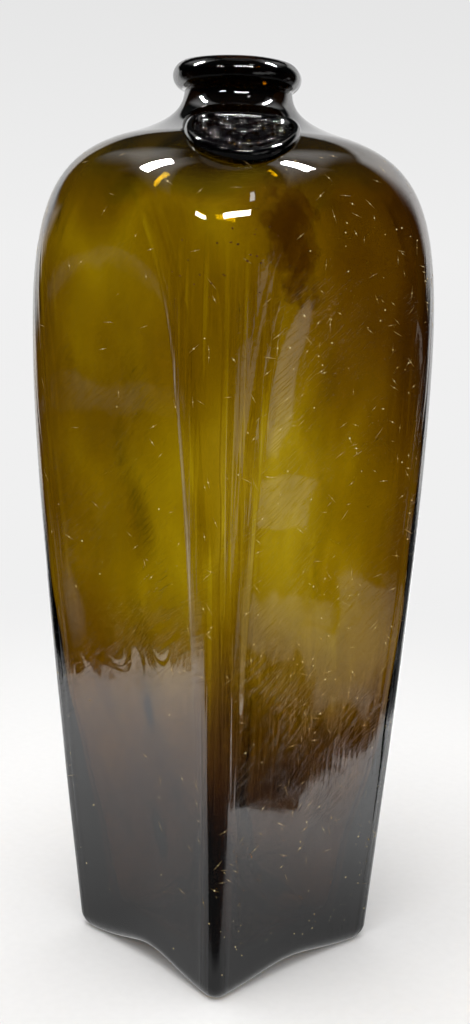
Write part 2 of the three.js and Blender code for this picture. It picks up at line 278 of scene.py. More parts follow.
def hollow_points(height, inset):
    """The hollow has tight corners in the thin wall, and round ones in the thick foot."""
    level = ring(height)
    wall = wall_thickness(body_angles, level)
    pooled = 8 * MM * np.clip(1 - level / (70 * MM), 0, 1) ** 1.3
    corner = np.maximum(corner_radius(level) - wall, 3.2 * MM) + pooled
    radius = glass_radius(body_angles, level, wall, corner, HOLLOW_SOFTNESS)
    return axis_points(body_angles, radius - inset, level)


def wall_heights(first, last, wall_rows, top_rows):
    low = np.linspace(first, ARCH_SPRING, wall_rows + 1)[1:]
    climb = np.sin(np.linspace(0, np.pi / 2, top_rows + 1)[1:])
    return np.concatenate([low, ARCH_SPRING + (last - ARCH_SPRING) * climb])


def outside_rings():
    rim = outside_points(0, HEEL_RADIUS)
    rings = []
    for share in np.linspace(0.05, 0.95, 19):
        points = axis_foot + (rim - axis_foot) * share
        rise = PUSH_UP * (1 - share**2) ** 2 + edge_lift(body_angles, ring(0)) * share**2
        points[:, 2] = np.maximum(rise - WEAR_DEPTH, 0)
        rings.append(points)
    for bend in np.linspace(0, np.pi / 2, 13):
        height = HEEL_RADIUS * (1 - math.cos(bend))
        rings.append(outside_points(height, HEEL_RADIUS * (1 - math.sin(bend))))
    for height in wall_heights(HEEL_RADIUS, NECK_FOOT, 90, 60):
        rings.append(outside_points(height, 0))
    foot_radius = mould_radius(body_angles, ring(NECK_FOOT))
    for travel in np.linspace(0, 1, 25)[1:]:
        rings.append(flare_points(body_angles, travel, foot_radius, NECK_FOOT, NECK_RADIUS))
    rings.append(axis_points(body_angles, NECK_RADIUS, ring(NECK_TOP)))
    return rings


def hollow_rings():
    rings = [axis_points(body_angles, MOUTH_RADIUS, ring(NECK_TOP))]
    foot = NECK_FOOT - 3 * MM
    last = ring(foot)
    wall = wall_thickness(body_angles, last)
    foot_radius = glass_radius(body_angles, last, wall, corner_radius(last))
    for travel in np.linspace(1, 0, 21)[:-1]:
        rings.append(flare_points(body_angles, travel, foot_radius, foot, MOUTH_RADIUS))
    for height in wall_heights(FLOOR_THICKNESS + FLOOR_FILLET, foot, 50, 50)[::-1]:
        rings.append(hollow_points(height, 0))
    for bend in np.linspace(np.pi / 2, 0, 10):
        height = FLOOR_THICKNESS + FLOOR_FILLET * (1 - math.cos(bend))
        rings.append(hollow_points(height, FLOOR_FILLET * (1 - math.sin(bend))))
    rim = rings[-1]
    for share in np.linspace(0.9, 0.1, 9):
        points = axis_foot + (rim - axis_foot) * share
        points[:, 2] = FLOOR_THICKNESS + PUSH_UP * (1 - share**2) ** 2 - WEAR_DEPTH
        rings.append(points)
    return rings


# %% One closed skin over the rings
def in_scene(name, data):
    """A new object in the scene, made of a mesh, a camera or a lamp."""
    new = bpy.data.objects.new(name, data)
    bpy.context.collection.objects.link(new)
    return new


def skin(name, rings, first_pole, last_pole):
    """Joins rings into a closed mesh, with a fan of triangles to a pole at each end."""
    size = len(rings[0])
    points = np.concatenate([[first_pole], *rings, [last_pole]])
    here = np.arange(size)
    after = (here + 1) % size
    starts = 1 + size * np.arange(len(rings))
    pole = 0 * here + len(points) - 1
    faces = np.stack([0 * here, 1 + after, 1 + here], axis=1).tolist()
    for low, high in zip(starts[:-1], starts[1:]):
        faces += np.stack([low + here, low + after, high + after, high + here], axis=1).tolist()
    faces += np.stack([starts[-1] + here, starts[-1] + after, pole], axis=1).tolist()
    mesh = bpy.data.meshes.new(name)
    mesh.from_pydata(points.tolist(), [], faces)
    mesh.polygons.foreach_set("use_smooth", [True] * len(mesh.polygons))
    return in_scene(name, mesh)


outside, hollow = outside_rings(), hollow_rings()
base_pole = axis_foot + [0, 0, PUSH_UP]
floor_pole = axis_foot + [0, 0, FLOOR_THICKNESS + PUSH_UP]
body = skin("blown_body", outside + hollow, base_pole, floor_pole)
print("body faces:", len(body.data.polygons), "size in mm:", [*np.round(body.dimensions / MM, 1)])

# %% [markdown]
# ## Marks that belong to places on the glass
# The mould left a crease round each sunken face and drag lines near the corners, and the
# glass is darker in a few places, one of them a painted shade high on the +X face. The
# material has to know how near it is to them, so each point of the mesh keeps that as an
# attribute, which the shader reads by name. It also keeps which points are on the outside.

# %% Attributes for the material
DARKER_GLASS_AND_SHADE_LOBES = (  # middle and width in radians, heights in mm, how much darker there
    (-2.0, 0.4, [75, 88, 100, 120, 140, 158], [0, 1, 1, 0.75, 0.2, 0]),
    # Painted shade: this row darkens a patch high on the +X face.
    (0.05, 0.55, [180, 196, 212, 228], [0, 0.6, 0.8, 0]),
    (-np.pi / 4 - 0.35, 0.35, [165, 180, 200, 215], [0, 0.7, 0.4, 0]),
)
angles = np.concatenate([[0], np.tile(body_angles, len(outside) + len(hollow)), [0]])
heights = np.array([tuple(v.co) for v in body.data.vertices])[:, 2] + WEAR_DEPTH
flat_half = half_width(heights) - corner_radius(heights)
sideways = half_width(heights) * np.tan(angle_from_face(angles))
arch_rise = np.maximum((heights - ARCH_SPRING) / (ARCH_TOP - ARCH_SPRING), 0)
from_middle = np.hypot(sideways / flat_half, arch_rise)
slope = np.hypot(sideways / flat_half**2, arch_rise / (ARCH_TOP - ARCH_SPRING))
not_nothing = np.maximum(from_middle, 1e-9)  # in the very middle of a face it is nothing
crease = (from_middle - 1) / np.maximum(slope / not_nothing, 1)
is_outside = np.arange(len(angles)) <= len(outside) * len(body_angles)


def keep(piece, name, values):
    kept = piece.data.attributes.new(name, "FLOAT", "POINT")
    kept.data.foreach_set("value", values.astype(float))


keep(body, "crease_mm", np.clip(crease / MM, -20, 20))
keep(body, "corner_mm", np.clip((sideways - flat_half) / MM, -30, 30))
keep(body, "around_mm", angles * SHOULDER_HALF_WIDTH / MM)
keep(body, "darker_glass_and_shade", np.max(lobes(DARKER_GLASS_AND_SHADE_LOBES, angles, heights / MM), axis=0))
keep(body, "outside", is_outside)
print("outside points:", int(is_outside.sum()), "of", len(is_outside))

# %% [markdown]
# ## Helpers for node trees
# Colours are written as sRGB hex values, as in any paint tool, and shaders want them linear,
# so one function turns them. One more adds a node, sets its own properties, and gives each
# socket a value or another node. Every tree below is made with it, and calls it add. The
# kinds and settings that come up most have a short name, and a ramp's limits are one span.

# %% Colour and node helpers
MATH, VECTOR_MATH, MIX = "ShaderNodeMath", "ShaderNodeVectorMath", "ShaderNodeMix"
RAMP, NOISE, MAPPING = "ShaderNodeMapRange", "ShaderNodeTexNoise", "ShaderNodeMapping"
BUMP = "ShaderNodeBump"
SMOOTH = {"interpolation_type": "SMOOTHSTEP"}
TIMES = {"operation": "MULTIPLY"}


def linear(hex_colour):
    parts = [int(hex_colour[place : place + 2], 16) / 255 for place in (1, 3, 5)]
    return tuple(p / 12.92 if p <= 0.04045 else ((p + 0.055) / 1.055) ** 2.4 for p in parts) + (1,)


def span(low, high, start=0, end=1):
    """Sockets of a ramp that goes from start to end while its value goes from low to high."""
    return {"From Min": low, "From Max": high, "To Min": start, "To Max": end}


def add_node(tree, kind, sockets, **settings):
    """A socket takes a value, an output or a list of them, or a node, for its first output."""
    new = tree.nodes.new(kind)
    for name, value in settings.items():
        setattr(new, name, value)
    for socket, given in sockets.items():
        for value in given if isinstance(given, list) else [given]:
            if isinstance(value, bpy.types.Node):
                value = next(output for output in value.outputs if output.enabled)
            if isinstance(value, bpy.types.NodeSocket):
                tree.links.new(value, new.inputs[socket])
            else:
                new.inputs[socket].default_value = value
    return new


def empty_material(name):
    """A new material, and the function that adds a node to it."""
    material = bpy.data.materials.new(name)
    material.use_nodes = True
    material.node_tree.nodes.clear()
    return material, partial(add_node, material.node_tree)


# %% [markdown]
# ## Dark olive blown glass
# Bottle glass is soda-lime glass, whose iron makes it green and whose furnace smoke makes it
# amber. It has no colour of its own on the surface: light loses blue, then green, then red on
# its way through. So the colour is an absorption for each millimetre, and thick glass turns
# from yellow-olive to brown to black by itself.

# %% Glass that is coloured by its depth
LOST_PER_MM = np.array([0.195, 0.257, 1.2])
GLASS_IOR = 1.52


def deep_glass(add, tint, rough, bump, lost_per_mm):
    """Clear to its surface. Its volume loses density times one minus colour for each metre."""
    shader = add("ShaderNodeBsdfPrincipled", {
        "Base Color": tint, "Roughness": rough, "IOR": GLASS_IOR, "Transmission Weight": 1.0,
        "Normal": bump})
    most = max(lost_per_mm)
    lost = add("ShaderNodeVolumeAbsorption", {
        "Color": tuple(1 - lost_per_mm / most) + (1,), "Density": float(most / MM)})
    add("ShaderNodeOutputMaterial", {"Surface": shader, "Volume": lost})


def streaky(add, place, size, detail, turn=(0, 0, 0), roughness=0.5):
    """A noise whose grain has its own size along each axis, with the axes turned."""
    stretched = add(MAPPING, {
        "Vector": place, "Rotation": turn, "Scale": size}, vector_type="TEXTURE")
    return add(NOISE, {
        "Vector": stretched, "Scale": 1.0, "Detail": detail, "Roughness": roughness})


# %% What the olive glass knows of a place
RIGHT_FACE, FRONT_CORNER = (0.68, 0.73, 0), (0.73, -0.68, 0)
olive, add = empty_material("blown_olive_glass")
place = add("ShaderNodeTexCoord", {}).outputs["Object"]
crease_at, corner_at, around_at, outer_skin, darker_glass_and_shade_at = (
    add("ShaderNodeAttribute", {}, attribute_name=name).outputs["Fac"]
    for name in ("crease_mm", "corner_mm", "around_mm", "outside", "darker_glass_and_shade"))
side_way, front_way = (
    add(VECTOR_MATH, {0: place, 1: way}, operation="DOT_PRODUCT")
    for way in (RIGHT_FACE, FRONT_CORNER))
height_at = add("ShaderNodeSeparateXYZ", {0: place}).outputs["Z"]
around = add(MATH, {0: around_at, 1: MM}, **TIMES)
on_skin = add("ShaderNodeCombineXYZ", {"X": around, "Z": height_at})
HEIGHT_RAMPS = (  # from and to a height in mm, and the share at each
    (200, 221, 1, 0), (78, 96, 1, 0), (50, 62, 0, 1), (217, 232, 1, 0), (84, 118, 0.2, 1),
    (238, 247, 0, 1), (229, 241, 0, 1))
under_shoulder, low_down, above_foot, below_top, above_low, in_smoke, greener = (
    add(RAMP, {"Value": height_at, **span(low * MM, high * MM, *ends)}, **SMOOTH)
    for low, high, *ends in HEIGHT_RAMPS)

# %% [markdown]
# ### Marks of the mould
# Hot glass that slides up an iron mould is dragged into fine upright lines near its corners,
# and it stays crisp in the crease round each sunken face. These marks are finer than the
# rings of the mesh, so they are heights that bend the highlights, and not modelled.

# %% Drag lines near the corners
drag = streaky(add, on_skin, (1.5 * MM, 1.0, 70 * MM), 1.0)
lines = add(RAMP, {"Value": drag, **span(0.42, 0.66)}, **SMOOTH)
near = add(RAMP, {"Value": corner_at, **span(-6, -0.5)}, **SMOOTH)
corner_share = add(MATH, {0: near, 1: under_shoulder}, **TIMES)
one_side = add(RAMP, {"Value": side_way, **span(0, 12 * MM, 0, 0.8)}, **SMOOTH)
low_band = add(MATH, {0: low_down, 1: above_foot}, **TIMES)
low_share = add(MATH, {0: low_band, 1: one_side}, **TIMES)
faint_low = add(MATH, {0: low_share, 1: 0.04}, **TIMES)
drag_share = add(MATH, {0: corner_share, 1: faint_low}, operation="MAXIMUM")
drag_height = add(MATH, {0: lines, 1: drag_share}, **TIMES)
outer_drag = add(MATH, {0: drag_height, 1: outer_skin}, **TIMES)

# %% Creases round the sunken faces
ridge_near = add(MATH, {0: crease_at, 1: crease_at}, **TIMES)
ridge = add(RAMP, {"Value": ridge_near, **span(0, 22, 1, 0)}, **SMOOTH)
between_ends = add(MATH, {0: below_top, 1: above_low}, **TIMES)
front_share = add(RAMP, {"Value": front_way, **span(14 * MM, 34 * MM, 0.1, 1)}, **SMOOTH)
front_low = add(MATH, {0: front_share, 1: between_ends}, **TIMES)
crisp = add(MATH, {0: front_low, 1: outer_skin}, **TIMES)
crisp_ridge = add(MATH, {0: ridge, 1: crisp}, **TIMES)

# %% [markdown]
# ### Marks of use
# Bottles that stood side by side in a crate rubbed each other. That leaves slanted hair lines
# in patches, and dull scuffs. A noise stretched along the slant gives the lines.

# %% Slanted rubbing marks
rub_noise = streaky(add, on_skin, (0.35 * MM, 1.0, 8 * MM), 0.0, (0, math.radians(55), 0))
rub = add(RAMP, {"Value": rub_noise, **span(0.56, 0.7)}, **SMOOTH)
patch = add(NOISE, {"Vector": place, "Scale": 1 / (22 * MM), "Detail": 1.0})
patches = add(RAMP, {"Value": patch, **span(0.42, 0.62, 0.3, 1)}, **SMOOTH)
rub_share = add(MATH, {0: patches, 1: under_shoulder}, **TIMES)
rub_height = add(MATH, {0: rub, 1: rub_share}, **TIMES)

bump = add(BUMP, {"Height": crisp_ridge, "Distance": 0.35 * MM})
for height, distance in ((outer_drag, 0.07 * MM), (rub_height, 0.011 * MM)):
    bump = add(BUMP, {"Height": height, "Distance": distance, "Normal": bump})

scuff = add(NOISE, {"Vector": place, "Scale": 1 / (9 * MM), "Detail": 5.0, "Roughness": 0.65})
rough = add(RAMP, {"Value": scuff, **span(0.45, 0.75, 0, 0.04)})

# %% [markdown]
# ### Uneven colour and painted shade
# A pot of bottle glass is badly stirred. It has cords, which are veins of darker glass. One side
# is browner, a few patches are darker, and smoke darkened the glass at the neck. A painted shade
# darkens a patch high on the +X face and the glass beside each crease, and the glass is a little
# darker between the drag lines and between the low streaks. Each of these multiplies the colour
# of the light that passes.

# %% Cords, and a painted shade patch high on the +X face
cords = streaky(add, place, (11 * MM, 11 * MM, 20 * MM), 4.0, roughness=0.6)
mottle = add(RAMP, {"Value": cords, **span(0.3, 0.7)})
browner = add(RAMP, {"Value": side_way, **span(-30 * MM, 50 * MM)})
# Painted shade: a dark patch with a ragged edge, high on the +X face, darkens the tint.
shade_patch_place = add(MAPPING, {
    "Vector": place, "Location": (46.2 * MM, -21.5 * MM, 216 * MM),
    "Rotation": (math.radians(14), 0, 0), "Scale": (8.5 * MM, 7.5 * MM, 18 * MM)},
    vector_type="TEXTURE")
shade_patch_swirl = add(NOISE, {"Vector": place, "Scale": 1 / (7 * MM), "Detail": 3.0, "Roughness": 0.6})
from_shade_patch = add(VECTOR_MATH, {0: shade_patch_place}, operation="LENGTH")
shade_patch_edge = add(MATH, {0: shade_patch_swirl, 1: 2.0, 2: from_shade_patch}, operation="MULTIPLY_ADD")
in_shade_patch = add(RAMP, {"Value": shade_patch_edge, **span(1.7, 2.2, 1, 0)}, **SMOOTH)

# %% Darker glass between lines and streaks, and painted shade beside the creases
fine_lines = add(RAMP, {"Value": drag, **span(0.54, 0.62, 1, 0)}, **SMOOTH)
between_lines = add(MATH, {0: fine_lines, 1: drag_share}, **TIMES)
# Painted shade: the glass beside each crease is darker.
past_crease = add(RAMP, {"Value": crease_at, **span(0.4, 1.4)}, **SMOOTH)
beside_crease = add(RAMP, {"Value": crease_at, **span(1.4, 6, 1, 0)}, **SMOOTH)
crease_band = add(MATH, {0: past_crease, 1: beside_crease}, **TIMES)
crease_shade = add(MATH, {0: crease_band, 1: crisp}, **TIMES)
line_tone_and_crease_shade = add(MATH, {0: between_lines, 1: crease_shade}, operation="MAXIMUM")
streak = streaky(add, on_skin, (2.2 * MM, 1.0, 22 * MM), 2.0)
between_streaks = add(RAMP, {"Value": streak, **span(0.53, 0.6, 1, 0)}, **SMOOTH)
streak_shade = add(MATH, {0: between_streaks, 1: low_share}, **TIMES)

# %% The finished olive glass
tint = add(MIX, {0: mottle, 6: linear("#fffaf0"), 7: linear("#ebe4d4")}, data_type="RGBA")
# Of these tints, the patch high on the +X face and the shade beside the creases are painted shade,
# and so is one of the darker patches.
for share, shade in ((browner, "#fcf7ee"), (darker_glass_and_shade_at, "#dccdb0"), (in_shade_patch, "#a89070"),
                     (streak_shade, "#d2c4a8"), (line_tone_and_crease_shade, "#e6dece"), (greener, "#def4dc")):
    tint = add(MIX, {0: share, 6: tint, 7: linear(shade)}, data_type="RGBA", blend_type="MULTIPLY")
tint = add(MIX, {0: in_smoke, 6: tint, 7: linear("#5a5044")}, data_type="RGBA")

# Fire-polished soda-lime glass: the eye gets sharp mirrored edges and depth, and painted shade in a
# few places.
deep_glass(add, tint, rough, bump, LOST_PER_MM)
body.data.materials.append(olive)
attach(body, "root")
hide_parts("bottle_body")

# %% [markdown]
# ## Dark applied glass
# The lip and the seal are gathers of the same glass, added by hand. They look nearly black,
# because they are thick and were reheated in a smoky furnace. Tooling leaves a soft grain,
# and the die leaves a rough floor under the seal's relief.


# %% The applied glass of lip and seal
def applied_glass(name, grain_mm, depth_mm, pressed_mm, darker):
    """Dark glass with soft grain, and with a rough relief where the die was pressed on it."""
    material, add = empty_material(name)
    place = add("ShaderNodeTexCoord", {}).outputs["Object"]
    grain = add(NOISE, {"Vector": place, "Scale": 1 / (grain_mm * MM), "Detail": 3.0})
    soft_bump = add(BUMP, {"Height": grain, "Distance": depth_mm * MM})
    pressed_at = add("ShaderNodeAttribute", {}, attribute_name="pressed").outputs["Fac"]
    lumps = streaky(add, place, (1.2 * MM, 1.2 * MM, 2.2 * MM), 1.0)
    relief = add(MATH, {0: lumps, 1: pressed_at}, **TIMES)
    bump = add(BUMP, {"Height": relief, "Distance": pressed_mm * MM, "Normal": soft_bump})
    rough = add(RAMP, {"Value": grain, **span(0.35, 0.75, 0.01, 0.07)})
    tint = add(MIX, {0: grain, 6: linear("#c8b48c"), 7: linear("#5a4c3a")}, data_type="RGBA")
    deep_glass(add, tint, rough, bump, darker * LOST_PER_MM)
    return material


# A tooled string: the eye gets soft, wandering highlights on near-black glass.
lip_glass = applied_glass("string_laid_lip_glass", 5, 0.1, 0, 1.7)
# A pressed pad: the eye gets many small glints on the relief, and hardly any light through it.
seal_glass = applied_glass("pressed_seal_glass", 2, 0.03, 0.05, 6)

# %% [markdown]
# ## The applied lip
# The lip is a string of hot glass laid round the top of the neck, with its end lapped over its
# start and melted down. A modelled ring would look too tidy, so the string's own rule is used:
# a path once round and a bit more, a round section that thins at both ends, and a remesh that
# melts the lap together. It is a job for Geometry Nodes, because each size stays an input.


# %% Geometry trees and what they build
def geometry_tree(name, sizes):
    """A new tree with a named input for each size: the function that adds to it, and the inputs."""
    tree = bpy.data.node_groups.new(name, "GeometryNodeTree")
    for in_out in ("INPUT", "OUTPUT"):
        tree.interface.new_socket(name="Geometry", in_out=in_out, socket_type="NodeSocketGeometry")
    for label, value in sizes.items():
        size = tree.interface.new_socket(name=label, in_out="INPUT", socket_type="NodeSocketFloat")
        size.default_value = value
    add = partial(add_node, tree)
    return add, add("NodeGroupInput", {}).outputs


def built(name, start, last, material):
    """Gives a tree's last node its material, and what it makes of a start object as a new mesh."""
    add = partial(add_node, last.id_data)
    dressed = add("GeometryNodeSetMaterial", {"Geometry": last, "Material": material})
    add("NodeGroupOutput", {0: dressed})
    modifier = start.modifiers.new(name, "NODES")
    modifier.node_group = last.id_data
    ready = start.evaluated_get(bpy.context.evaluated_depsgraph_get())
    mesh = bpy.data.meshes.new_from_object(ready)
    start.modifiers.remove(modifier)
    mesh.name = name
    mesh.materials.clear()
    mesh.materials.append(material)
    print(name, "triangles:", sum(len(face.vertices) - 2 for face in mesh.polygons))
    return in_scene(name, mesh)


# %% The string's path
LIP_TOP = NECK_TOP + 4.3 * MM - WEAR_DEPTH
lip_sizes = {
    "Ring radius": 14.35 * MM, "Section half width": 4.75 * MM,
    "Section half height": 4.55 * MM, "Middle height": LIP_TOP - 4.45 * MM,
    "Start angle": math.radians(20), "Lap angle": math.radians(60), "Lap drop": 1.2 * MM,
    "Voxel": 0.34 * MM,
}
add, given = geometry_tree("string_lip", lip_sizes)
line = add("GeometryNodeCurvePrimitiveLine", {"End": (1.0, 0.0, 0.0)})
string = add("GeometryNodeResampleCurve", {"Curve": line, "Count": 160})
along = add("GeometryNodeSplineParameter", {}).outputs["Factor"]
whole = add(MATH, {0: given["Lap angle"], 1: 2 * math.pi})
turned = add(MATH, {0: along, 1: whole, 2: given["Start angle"]}, operation="MULTIPLY_ADD")
path_x, path_y = (
    add(MATH, {0: add(MATH, {0: turned}, operation=side), 1: given["Ring radius"]}, **TIMES)
    for side in ("COSINE", "SINE"))
lap_from, thick_start, thick_end = (
    add(RAMP, {"Value": along, **span(*limits)}, **SMOOTH)
    for limits in ((0.72, 1), (0, 0.12, 0.35, 1), (0.84, 1, 1, 0.3)))
drop = add(MATH, {0: lap_from, 1: given["Lap drop"]}, **TIMES)
level = add(MATH, {0: given["Middle height"], 1: drop}, operation="SUBTRACT")
path = add("ShaderNodeCombineXYZ", {"X": path_x, "Y": path_y, "Z": level})
wound = add("GeometryNodeSetPosition", {"Geometry": string, "Position": path})
upright = add("GeometryNodeSetCurveNormal", {"Curve": wound}, mode="Z_UP")

# %% The string's section, melted on
thickness = add(MATH, {0: thick_start, 1: thick_end}, **TIMES)
thinned = add("GeometryNodeSetCurveRadius", {"Curve": upright, "Radius": thickness})
circle = add("GeometryNodeCurvePrimitiveCircle", {"Resolution": 32})
section_size = add("ShaderNodeCombineXYZ", {
    "X": given["Section half width"], "Y": given["Section half height"], "Z": 1.0})
section = add("GeometryNodeTransform", {"Geometry": circle, "Scale": section_size})
swept = add("GeometryNodeCurveToMesh", {
    "Curve": thinned, "Profile Curve": section, "Scale": thickness, "Fill Caps": True})
melted = add("GeometryNodeMeshToVolume", {
    "Mesh": swept, "Voxel Size": given["Voxel"], "Interior Band Width": 2 * MM},
    resolution_mode="VOXEL_SIZE")
closed = add("GeometryNodeVolumeToMesh", {
    "Volume": melted, "Threshold": 0.1}, resolution_mode="GRID")
eased = add("GeometryNodeBlurAttribute", {
    "Value": add("GeometryNodeInputPosition", {}), "Iterations": 6},
    data_type="FLOAT_VECTOR")
calmed = add("GeometryNodeSetPosition", {"Geometry": closed, "Position": eased})
polished = add("GeometryNodeSetShadeSmooth", {"Geometry": calmed})
whole_lip = add("GeometryNodeRealizeInstances", {"Geometry": polished})

seed_mesh = bpy.data.meshes.new("start")
seed_mesh.from_pydata([(0, 0, 0)], [], [])
seed = in_scene("start", seed_mesh)
lip = built("laid_on_lip", seed, whole_lip, lip_glass)
print("lip size in mm:", [*np.round(lip.dimensions / MM, 2)])
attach(lip, "root")
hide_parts("applied_lip")

# %% [markdown]
# ## The applied seal
# A gather of hot glass was dropped on the shoulder and pressed with a round die. The glass
# squeezed out from under the die as a rolled rim round a lower field. The relief here is a
# plain ring of beads round a rosette. The pad is drawn flat, in distances over the shoulder,
# Geometry Nodes repeat the relief on it, and then the whole pad is wrapped on the shoulder.

# %% The pad, drawn flat
SEAL_RADIUS = 16 * MM
SEAL_REACH = 37.3 * MM
SEAL_ANGLE = math.radians(4.7 - 45)
SEAL_RIM_WIDTH = 3.8 * MM
SEAL_RIM_HEIGHT = 3.2 * MM
SEAL_FIELD_HEIGHT = 1.8 * MM
SEAL_BOSS_RADIUS = 3.6 * MM
SEAL_BOSS_HEIGHT = 0.7 * MM
SEAL_SINK = 0.5 * MM
SEAL_TURNS = 144
SEAL_FIELD_ROWS = 40

pad_turns = np.arange(SEAL_TURNS) / SEAL_TURNS * 2 * np.pi
rim_middle = SEAL_RADIUS - SEAL_RIM_WIDTH / 2
slump = 1 + 0.018 * np.sin(2 * pad_turns + 1) + 0.012 * np.sin(5 * pad_turns + 2)


def pad_ring(reach, rise):
    return np.stack([
        reach * np.cos(pad_turns), reach * np.sin(pad_turns), rise + 0 * pad_turns], axis=1)


pad_rings = [pad_ring(SEAL_RADIUS * 0.5, -SEAL_SINK)]
for bend in np.linspace(-0.35, 2.7, 26):
    reach = (rim_middle + SEAL_RIM_WIDTH / 2 * math.cos(bend)) * slump
    rise = SEAL_RIM_HEIGHT * math.sin(bend) * (1 + 0.07 * np.sin(3 * pad_turns + 0.5))
    if bend > np.pi / 2:
        rise = np.maximum(rise, SEAL_FIELD_HEIGHT)
    pad_rings.append(pad_ring(reach, rise))
for share in np.linspace(0.97, 0.04, SEAL_FIELD_ROWS):
    reach = (SEAL_RADIUS - SEAL_RIM_WIDTH) * share
    dome = SEAL_BOSS_HEIGHT * math.exp(-((reach / SEAL_BOSS_RADIUS) ** 4))
    pad_rings.append(pad_ring(reach, SEAL_FIELD_HEIGHT + dome))
top = np.array([0, 0, SEAL_FIELD_HEIGHT + SEAL_BOSS_HEIGHT])
pad = skin("seal_pad", pad_rings, np.array([0, 0, -SEAL_SINK]), top)
field_starts = len(pad.data.vertices) - 1 - SEAL_FIELD_ROWS * SEAL_TURNS
keep(pad, "pressed", np.arange(len(pad.data.vertices)) >= field_starts)

# %% [markdown]
# ### The relief of the seal
# The die was cut by hand, so its beads and petals are small mounds and its ground is rough.
# A ring of instances sets each of them, and crumbs strewn on the ground make it rough.

# %% The tree that sets the relief
relief_sizes = {
    "Bead count": 22, "Bead ring radius": 10.6 * MM, "Bead radius": 0.9 * MM,
    "Petal count": 8, "Petal ring radius": 3.9 * MM, "Petal length": 2.6 * MM,
    "Crumb size": 0.6 * MM, "Crumbs per square metre": 70000,
    "Relief level": SEAL_FIELD_HEIGHT,
}
add, given = geometry_tree("seal_relief", relief_sizes)
spot = add("GeometryNodeInputPosition", {})
raised = add("ShaderNodeCombineXYZ", {"Z": given["Relief level"]})
parts = []
for kind, long, tall in (("Bead", "Bead radius", 0.95 * MM), ("Petal", "Petal length", 0.8 * MM)):
    circle = add("GeometryNodeMeshCircle", {
        "Vertices": given[f"{kind} count"], "Radius": given[f"{kind} ring radius"]})
    lifted = add("GeometryNodeTransform", {"Geometry": circle, "Translation": raised})
    ball = add("GeometryNodeMeshUVSphere", {"Segments": 10, "Rings": 7})
    size = add("ShaderNodeCombineXYZ", {"X": given[long], "Y": given["Bead radius"], "Z": tall})
    outward = add("FunctionNodeAlignRotationToVector", {"Vector": spot}, axis="X")
    parts.append(add("GeometryNodeInstanceOnPoints", {
        "Points": lifted, "Instance": ball, "Rotation": outward, "Scale": size}))

# %% Crumbs on the seal's ground
from_middle = add(VECTOR_MATH, {0: spot}, operation="LENGTH")
on_ring = add(RAMP, {"Value": from_middle, **span(6.3 * MM, 7.3 * MM)})
in_field = add(RAMP, {"Value": from_middle, **span(11 * MM, 11.6 * MM, 1, 0)})
crumb_zone = add(MATH, {0: on_ring, 1: in_field}, **TIMES)
crumb_density = add(MATH, {0: crumb_zone, 1: given["Crumbs per square metre"]}, **TIMES)
crumbs = add("GeometryNodeDistributePointsOnFaces", {
    "Mesh": given["Geometry"], "Density": crumb_density, "Seed": 4})
crumb = add("GeometryNodeMeshUVSphere", {"Segments": 8, "Rings": 6})
crumb_chance, crumb_turn = (
    add("FunctionNodeRandomValue", {
        0: least, 1: most, "Seed": chance_seed}, data_type="FLOAT_VECTOR")
    for least, most, chance_seed in (
        ((0.5, 0.5, 0.7), (1.5, 1.2, 1.3), 6), ((-0.5, -0.5, -3.0), (0.5, 0.5, 3.0), 7)))
crumb_size = add(VECTOR_MATH, {0: crumb_chance, "Scale": given["Crumb size"]}, operation="SCALE")
parts.append(add("GeometryNodeInstanceOnPoints", {
    "Points": crumbs.outputs["Points"], "Instance": crumb, "Rotation": crumb_turn,
    "Scale": crumb_size}))
joined = add("GeometryNodeJoinGeometry", {0: [*parts, given["Geometry"]]})
real = add("GeometryNodeRealizeInstances", {"Geometry": joined})
round_look = add("GeometryNodeSetShadeSmooth", {"Geometry": real})
seal = built("pressed_seal", pad, round_look, seal_glass)


# %% The wrap over the shoulder
def shoulder_points(angle, travel):
    """Points of the outside. Travel runs from 0 to 1 up the body, and on to 2 up the flare."""
    level = np.minimum(travel, 1) * NECK_FOOT
    on_body = axis_points(angle, mould_radius(angle, level), level)
    foot_radius = mould_radius(angle, np.full_like(angle, NECK_FOOT))
    on_flare = flare_points(angle, np.clip(travel - 1, 0, 1), foot_radius, NECK_FOOT, NECK_RADIUS)
    return np.where((travel <= 1)[..., None], on_body, on_flare)


SEAL_SQUEEZE, SEAL_SQUEEZE_UP, SEAL_SQUEEZE_DOWN = 0.97, 0.84, 0.92
STEP = 0.0005
travels = np.linspace(0.75, 2, 2000)
line_up = shoulder_points(np.full_like(travels, SEAL_ANGLE), travels)
reaches = np.hypot(line_up[:, 0], line_up[:, 1])
walked = np.concatenate([[0], np.cumsum(np.linalg.norm(np.diff(line_up, axis=0), axis=1))])
middle = np.argmax((reaches <= SEAL_REACH) & (travels > 0.967))
walked -= walked[middle]

flat = np.array([tuple(v.co) for v in seal.data.vertices])
flat[:, 0] *= SEAL_SQUEEZE
flat[:, 1] *= np.where(flat[:, 1] > 0, SEAL_SQUEEZE_UP, SEAL_SQUEEZE_DOWN)
travel = np.interp(flat[:, 1], walked, travels)
turned = SEAL_ANGLE + flat[:, 0] / np.interp(flat[:, 1], walked, reaches)
across = shoulder_points(turned + STEP, travel) - shoulder_points(turned - STEP, travel)
upward = shoulder_points(turned, travel + STEP) - shoulder_points(turned, travel - STEP)
normal = np.cross(across, upward)
normal /= np.linalg.norm(normal, axis=1, keepdims=True)
wrapped = shoulder_points(turned, travel) + normal * flat[:, 2:]
seal.data.vertices.foreach_set("co", wrapped.ravel())
seal.data.update()
print("seal middle in mm:", np.round(line_up[middle] / MM, 1), "vertices:", len(flat))
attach(seal, "root")
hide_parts("applied_seal")

